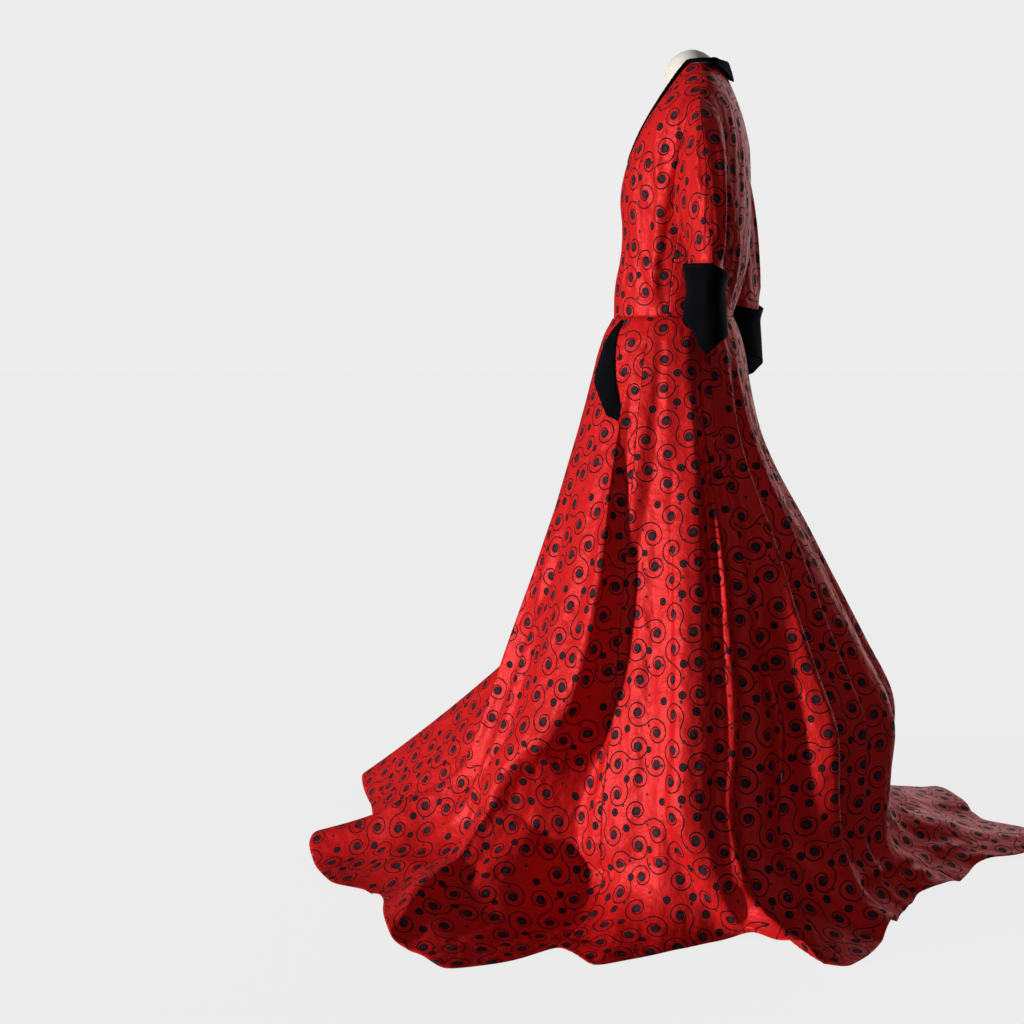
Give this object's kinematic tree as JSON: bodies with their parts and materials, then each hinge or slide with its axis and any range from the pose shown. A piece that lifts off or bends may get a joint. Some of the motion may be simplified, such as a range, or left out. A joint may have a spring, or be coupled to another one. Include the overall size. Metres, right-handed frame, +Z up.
{
  "type": "hostess gown on a dress form",
  "caption": "Full-length hostess gown with a deep V neck, three-quarter sleeves and a full trailing skirt, on a limbless dress form.",
  "frame": {"origin": "centre of the underside of the dress form's round base, on the floor", "axes": "+Z up; the gown's front faces -Y and the wearer's left is +X"},
  "size_m": [1.0856, 1.348, 1.392],
  "materials": {
    "red_satin": "satin with a woven black scroll pattern",
    "black_velvet": "short pile velvet",
    "form_cover": "smooth, pale",
    "form_stand": "matt black paint"
  },
  "bodies": {
    "root": {"bodice_front_left": "red_satin", "bodice_front_right": "red_satin", "bodice_back": "red_satin", "sleeve_front_left": "red_satin", "sleeve_back_left": "red_satin", "sleeve_front_right": "red_satin", "sleeve_back_right": "red_satin", "skirt_front_left": "red_satin", "skirt_side_left": "red_satin", "skirt_back_left": "red_satin", "skirt_back_right": "red_satin", "skirt_side_right": "red_satin", "skirt_front_right": "red_satin", "collar": "black_velvet", "cuff_left": "black_velvet", "cuff_right": "black_velvet", "pocket_left": "black_velvet", "pocket_right": "black_velvet", "form_torso": "form_cover", "form_pole": "form_stand", "form_base": "form_stand"}
  },
  "joints": []
}
